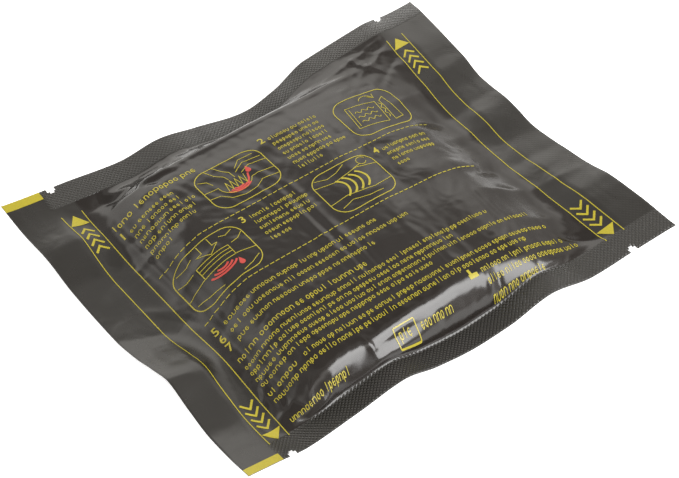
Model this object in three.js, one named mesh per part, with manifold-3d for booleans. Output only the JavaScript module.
import * as THREE from "three";
import { mergeVertices } from "three/addons/utils/BufferGeometryUtils.js";
import Module from "manifold-3d";

// A strip of hemostatic gauze, Z-folded and sealed in a flat film pouch.
// Millimetres. X runs along the pouch, Y from its near side to its far side, Z is up.
// The origin is under the middle of the pouch, on the surface that it lies on.

// Driving dimensions of the pouch
const pouchLength = 140;
const pouchWidth = 114;
const webThick = 0.35;
const webGap = 0.3;
const sideSeal = 7;
const endSeal = 10;

// How far the middle of each edge is drawn in by the pad, and how high the edges wave
const drawFar = 5;
const drawNear = 2;
const drawLeft = 0.6;
const drawRight = 4.5;
const drawPower = 0.8;
const rimLift = 8.6;

// Tear notches in the long sides
const notchWidth = 2.8;
const notchDepth = 2;
const notchFromEnd = 14;

// The gauze and the pad that it is folded into
const gauzeWidth = 76;
const padLength = 91.3;
const layers = 19;
const plyThick = 0.56;
const plyGap = 0.14;
const padClear = 0.3;
const padFromMiddleX = -1;
const padFromMiddleY = -2;
const cornerRoll = 0.6;

// Heights of the interface between the webs along the four edges.
// Columns: share of the way along the edge, share of the lift.
// The long edges run from the left end, the short ones from the far side.
const RIM_SHARES = {
  far: [
    [0, 0.65], [0.12, 0.64], [0.25, 0.52], [0.34, 0.74], [0.43, 0.47], [0.55, 0.09],
    [0.62, 0.34], [0.7, 0.91], [0.85, 1], [0.93, 0.76], [1, 0.62],
  ],
  near: [
    [0, 0.66], [0.06, 0.44], [0.14, 0.2], [0.25, 0.34], [0.35, 0.55], [0.43, 0.2],
    [0.52, 0.02], [0.6, 0.12], [0.7, 0.51], [0.8, 0.21], [0.9, 0.38], [1, 0.56],
  ],
  left: [
    [0, 0.65], [0.1, 0.41], [0.2, 0.34], [0.3, 0.08], [0.4, 0], [0.47, 0], [0.55, 0.2],
    [0.63, 0.59], [0.69, 0.81], [0.77, 0.57], [0.85, 0.38], [0.92, 0.45], [1, 0.66],
  ],
  right: [
    [0, 0.62], [0.06, 0.78], [0.15, 0.81], [0.25, 0.74], [0.33, 0.55], [0.43, 0.64],
    [0.54, 0.44], [0.65, 0.58], [0.72, 0.64], [0.8, 0.84], [0.88, 0.81], [1, 0.56],
  ],
};

// Height of the pad's upper side. Columns: share along it, share of its full height.
// The left end is blunt, and the right end thins out where the folds are staggered.
const CROWN_SHARES_ALONG = [
  [0, 0.35], [0.04, 0.62], [0.08, 0.8], [0.12, 0.91], [0.17, 0.94], [0.3, 0.965],
  [0.42, 0.985], [0.6, 1], [0.7, 0.945], [0.78, 0.915], [0.865, 0.78], [0.945, 0.51],
  [1, 0.325],
];
const CROWN_SHARES_ACROSS = [[0, 0.88], [0.1, 0.95], [0.3, 1], [0.7, 1], [0.9, 0.96], [1, 0.88]];

// Where the plies bend to follow the crown, as shares along the pad, and the crown below
// which a ply ends instead of bending
const PLY_BEND_SHARES = [0.28, 0.42, 0.6];
const shoulderShare = 0.9;

// The shares of the pad between which its upper side is nearly level
const LEVEL_SHARES_ALONG = [0.12, 0.7];
const LEVEL_SHARES_ACROSS = [0.1, 0.9];

// Sizes that follow from the driving dimensions
const halfLength = pouchLength / 2;
const halfWidth = pouchWidth / 2;
const plyPitch = plyThick + plyGap;
const padHeight = layers * plyPitch - plyGap;
const padBase = webThick + padClear;
const padLeft = padFromMiddleX - padLength / 2;
const padRight = padFromMiddleX + padLength / 2;
const padNear = padFromMiddleY - gauzeWidth / 2;
const padFar = padFromMiddleY + gauzeWidth / 2;
const rimFloor = webThick + webGap / 2;

// A smooth curve through a table's rows that doesn't overshoot them
function curveThrough(rows) {
  const slopeAfter = (i) => (rows[i + 1][1] - rows[i][1]) / (rows[i + 1][0] - rows[i][0]);
  const slopes = rows.map((row, i) => {
    if (i === 0 || i === rows.length - 1) return slopeAfter(Math.min(i, rows.length - 2));
    const before = slopeAfter(i - 1);
    const after = slopeAfter(i);
    return before * after <= 0 ? 0 : (2 * before * after) / (before + after);
  });
  return (share) => {
    const at = THREE.MathUtils.clamp(share, 0, 1);
    let i = rows.findIndex((row) => row[0] >= at) - 1;
    i = THREE.MathUtils.clamp(i, 0, rows.length - 2);
    const width = rows[i + 1][0] - rows[i][0];
    const t = (at - rows[i][0]) / width;
    return (
      rows[i][1] * (1 + 2 * t) * (1 - t) ** 2 +
      slopes[i] * width * t * (1 - t) ** 2 +
      rows[i + 1][1] * t * t * (3 - 2 * t) +
      slopes[i + 1] * width * t * t * (t - 1)
    );
  };
}

const rim = {
  far: curveThrough(RIM_SHARES.far),
  near: curveThrough(RIM_SHARES.near),
  left: curveThrough(RIM_SHARES.left),
  right: curveThrough(RIM_SHARES.right),
};
const crownAlong = curveThrough(CROWN_SHARES_ALONG);
const crownAcross = curveThrough(CROWN_SHARES_ACROSS);

// Where a point of the flat web lies in plan: u along, v across, both from the middle
function planOf(u, v) {
  const along = (u + halfLength) / pouchLength;
  const down = (halfWidth - v) / pouchWidth;
  const bowAlong = Math.max(0, Math.sin(Math.PI * along)) ** drawPower;
  const bowDown = Math.max(0, Math.sin(Math.PI * down)) ** drawPower;
  const drawX = u > 0 ? drawRight : drawLeft;
  const drawY = v > 0 ? drawFar : drawNear;
  return [u * (1 - (drawX * bowDown) / halfLength), v * (1 - (drawY * bowAlong) / halfWidth)];
}

// Height of the welded margins: the four edges' curves, carried across to each other
function marginHeight(u, v) {
  const s = (u + halfLength) / pouchLength;
  const t = (halfWidth - v) / pouchWidth;
  const ruled =
    (1 - t) * rim.far(s) + t * rim.near(s) + (1 - s) * rim.left(t) + s * rim.right(t);
  const corners =
    (1 - s) * (1 - t) * rim.far(0) + s * (1 - t) * rim.far(1) +
    (1 - s) * t * rim.near(0) + s * t * rim.near(1);
  return rimFloor + rimLift * Math.max(0, ruled - corners);
}

// 1 over the pad, easing to 0 at the weld's inner edge
function easeOut(distance, room) {
  const d = THREE.MathUtils.clamp(distance / room, 0, 1);
  return 1 - 0.5 * d - 0.5 * d * d * (3 - 2 * d);
}

// The pad's footprint with room for the film's bend, where the web is drawn in the most
const flatPlace = (place, draw, half) => place / (1 - draw / half);
const partedLeft = flatPlace(padLeft - cornerRoll, drawLeft, halfLength);
const partedRight = flatPlace(padRight + cornerRoll, drawRight, halfLength);
const partedNear = flatPlace(padNear - cornerRoll, drawNear, halfWidth);
const partedFar = flatPlace(padFar + cornerRoll, drawFar, halfWidth);

// 1 where the webs are parted by the pad, 0 in the welds
function parted(u, v) {
  const startX = u > 0 ? partedRight : -partedLeft;
  const startY = v > 0 ? partedFar : -partedNear;
  const outX = easeOut(Math.abs(u) - startX, halfLength - endSeal - startX);
  const outY = easeOut(Math.abs(v) - startY, halfWidth - sideSeal - startY);
  return outX * outY;
}

// Height of the pad's upper side above its base, at a place in plan
function padRise(x, y) {
  const along = crownAlong((x - padLeft) / padLength);
  const across = crownAcross((y - padNear) / gauzeWidth);
  return padHeight * along * across;
}

// The middle surfaces that the two webs are laid against, as functions of the flat web
function frontMiddle(u, v) {
  const [x, y] = planOf(u, v);
  const edge = marginHeight(u, v);
  const over = padBase + padRise(x, y) + padClear - webGap / 2;
  return new THREE.Vector3(x, y, THREE.MathUtils.lerp(edge, over, parted(u, v)));
}

function backMiddle(u, v) {
  const [x, y] = planOf(u, v);
  const edge = marginHeight(u, v);
  return new THREE.Vector3(x, y, THREE.MathUtils.lerp(edge, rimFloor, parted(u, v)));
}

// Grid lines between breaks, with a number of cells in each stretch
function stations(breaks, cells) {
  const lines = [breaks[0]];
  cells.forEach((count, i) => {
    for (let k = 1; k <= count; k++) {
      lines.push(THREE.MathUtils.lerp(breaks[i], breaks[i + 1], k / count));
    }
  });
  return lines;
}

const linesAlong = stations(
  [
    -halfLength,
    endSeal - halfLength,
    partedLeft,
    padLeft + LEVEL_SHARES_ALONG[0] * padLength,
    padLeft + LEVEL_SHARES_ALONG[1] * padLength,
    partedRight,
    halfLength - endSeal,
    halfLength,
  ],
  [3, 4, 5, 10, 8, 3, 3],
);
const linesAcross = stations(
  [
    -halfWidth,
    sideSeal - halfWidth,
    partedNear,
    padNear + LEVEL_SHARES_ACROSS[0] * gauzeWidth,
    padNear + LEVEL_SHARES_ACROSS[1] * gauzeWidth,
    partedFar,
    halfWidth - sideSeal,
    halfWidth,
  ],
  [2, 4, 3, 10, 4, 3, 2],
);

// A closed solid between two offsets of a middle surface, on the grid of the web
function webGeometry(middle, from, to) {
  const step = webThick / 2;
  const positions = [];
  const index = [];
  const columns = linesAlong.length;
  const rows = linesAcross.length;
  const offsets = [to, from];
  offsets.forEach((offset) => {
    linesAcross.forEach((v) => {
      linesAlong.forEach((u) => {
        const alongU = middle(u + step, v).sub(middle(u - step, v));
        const alongV = middle(u, v + step).sub(middle(u, v - step));
        const normal = alongU.cross(alongV).normalize();
        const point = middle(u, v).addScaledVector(normal, offset);
        positions.push(point.x, point.y, Math.max(point.z, 0));
      });
    });
  });
  const top = (i, j) => j * columns + i;
  const bottom = (i, j) => rows * columns + j * columns + i;
  for (let j = 0; j < rows - 1; j++) {
    for (let i = 0; i < columns - 1; i++) {
      const corners = [[i, j], [i + 1, j], [i + 1, j + 1], [i, j + 1]];
      const [a, b, c, d] = corners.map(([p, q]) => top(p, q));
      const [e, f, g, h] = corners.map(([p, q]) => bottom(p, q));
      const rising = (i < columns / 2) === (j < rows / 2);
      if (rising) {
        index.push(a, b, c, a, c, d, e, g, f, e, h, g);
      } else {
        index.push(a, b, d, b, c, d, e, h, f, f, h, g);
      }
    }
  }
  const around = [];
  for (let i = 0; i < columns - 1; i++) around.push([i, 0]);
  for (let j = 0; j < rows - 1; j++) around.push([columns - 1, j]);
  for (let i = columns - 1; i > 0; i--) around.push([i, rows - 1]);
  for (let j = rows - 1; j > 0; j--) around.push([0, j]);
  around.forEach((place, k) => {
    const next = around[(k + 1) % around.length];
    const [p, q] = [top(...place), top(...next)];
    const [r, s] = [bottom(...place), bottom(...next)];
    index.push(p, r, q, q, r, s);
  });
  const geometry = new THREE.BufferGeometry();
  geometry.setAttribute("position", new THREE.Float32BufferAttribute(positions, 3));
  geometry.setIndex(index);
  return geometry;
}

const wasm = await Module();
wasm.setup();

function solidOf(geometry) {
  const bare = geometry.clone();
  bare.deleteAttribute("normal");
  bare.deleteAttribute("uv");
  const merged = mergeVertices(bare, 1e-4);
  return new wasm.Manifold(
    new wasm.Mesh({
      numProp: 3,
      vertProperties: merged.attributes.position.array,
      triVerts: new Uint32Array(merged.index.array),
    }),
  );
}

function geometryOf(solid) {
  const mesh = solid.getMesh();
  const geometry = new THREE.BufferGeometry();
  geometry.setAttribute("position", new THREE.BufferAttribute(mesh.vertProperties, 3));
  geometry.setIndex(new THREE.BufferAttribute(mesh.triVerts, 1));
  return geometry;
}

// A round-ended cutter for one tear notch, standing through both webs
function notchCutter(u, side) {
  const [x, y] = planOf(u, side * halfWidth);
  const radius = notchWidth / 2;
  const outline = new THREE.Shape();
  outline.moveTo(radius, notchDepth);
  outline.lineTo(-radius, notchDepth);
  outline.lineTo(-radius, radius - notchDepth);
  outline.absarc(0, radius - notchDepth, radius, Math.PI, 2 * Math.PI, false);
  const tall = 2 * (rimLift + rimFloor);
  const cutter = new THREE.ExtrudeGeometry(outline, {
    depth: tall,
    bevelEnabled: false,
    curveSegments: 8,
  });
  if (side < 0) cutter.rotateZ(Math.PI);
  return solidOf(cutter.translate(x, y, -tall / 4));
}

function notched(geometry) {
  let web = solidOf(geometry);
  for (const side of [-1, 1]) {
    for (const u of [notchFromEnd - halfLength, halfLength - notchFromEnd]) {
      web = web.subtract(notchCutter(u, side));
    }
  }
  return geometryOf(web);
}

// Where a ply ends, so that its upper side stays under the pad's shoulder at that end
function reachAt(height, towardsRight) {
  const wanted = (shoulderShare * height) / padHeight;
  let inside = PLY_BEND_SHARES[1];
  let outside = towardsRight ? 1 : 0;
  if (crownAlong(outside) >= wanted) return padLeft + outside * padLength;
  for (let k = 0; k < 30; k++) {
    const middle = (inside + outside) / 2;
    if (crownAlong(middle) > wanted) inside = middle;
    else outside = middle;
  }
  return padLeft + inside * padLength;
}

// Half a turn of a fold, from its lower to its upper point
function turn(x, z, radius, side, segments) {
  const points = [];
  for (let k = 0; k <= segments; k++) {
    const angle = -Math.PI / 2 + (Math.PI * k) / segments;
    points.push([x + side * radius * Math.cos(angle), z + radius * Math.sin(angle)]);
  }
  return points;
}

// The zigzag's outline in the plane of its length and height
function foldedOutline() {
  const half = plyThick / 2;
  const outer = (plyPitch + plyThick) / 2;
  const bends = PLY_BEND_SHARES.map((share) => padLeft + share * padLength);
  const start = reachAt(plyThick, false);
  const rightHand = [[start, 0]];
  const leftHand = [[start, plyThick]];
  for (let layer = 0; layer < layers; layer++) {
    const towardsRight = layer % 2 === 0;
    const side = towardsRight ? 1 : -1;
    const z = layer * plyPitch + half;
    const run = towardsRight ? bends : bends.toReversed();
    rightHand.push(...run.map((x) => [x, z - side * half]));
    leftHand.push(...run.map((x) => [x, z + side * half]));
    if (layer === layers - 1) {
      const end = reachAt(z + half, towardsRight);
      rightHand.push([end, z - side * half]);
      leftHand.push([end, z + side * half]);
    } else {
      const foldZ = z + plyPitch / 2;
      const foldX = reachAt(foldZ + outer, towardsRight) - side * outer;
      const outside = towardsRight ? rightHand : leftHand;
      const inside = towardsRight ? leftHand : rightHand;
      outside.push(...turn(foldX, foldZ, outer, side, 4));
      inside.push(...turn(foldX, foldZ, plyGap / 2, side, 2));
    }
  }
  return rightHand.concat(leftHand.reverse());
}

// The strip: the outline drawn out to the gauze's width, pressed thinner near its edges
function gauzeGeometry() {
  const shape = new THREE.Shape(foldedOutline().map(([x, z]) => new THREE.Vector2(x, z)));
  const geometry = new THREE.ExtrudeGeometry(shape, {
    depth: gauzeWidth,
    steps: 4,
    bevelEnabled: false,
  });
  geometry.rotateX(Math.PI / 2);
  geometry.translate(0, padFar, 0);
  const position = geometry.attributes.position;
  for (let i = 0; i < position.count; i++) {
    const along = Math.max(shoulderShare, crownAlong((position.getX(i) - padLeft) / padLength));
    const across = crownAcross((position.getY(i) - padNear) / gauzeWidth);
    position.setZ(i, padBase + position.getZ(i) * along * across);
  }
  return geometry;
}

const film = { color: 0x2b2727, roughness: 0.34, metalness: 0.15 };
const gauze = { color: 0xe6dfcc, roughness: 0.95, metalness: 0 };

function named(name, geometry, finish) {
  geometry.computeVertexNormals();
  const mesh = new THREE.Mesh(geometry, new THREE.MeshStandardMaterial(finish));
  mesh.name = name;
  return mesh;
}

const frontWeb = webGeometry(frontMiddle, webGap / 2, webGap / 2 + webThick);
const backWeb = webGeometry(backMiddle, -webGap / 2 - webThick, -webGap / 2);

const pouch = new THREE.Group();
pouch.add(named("front_film", notched(frontWeb), film));
pouch.add(named("back_film", notched(backWeb), film));
pouch.add(named("gauze_strip", gauzeGeometry(), gauze));

export default pouch;
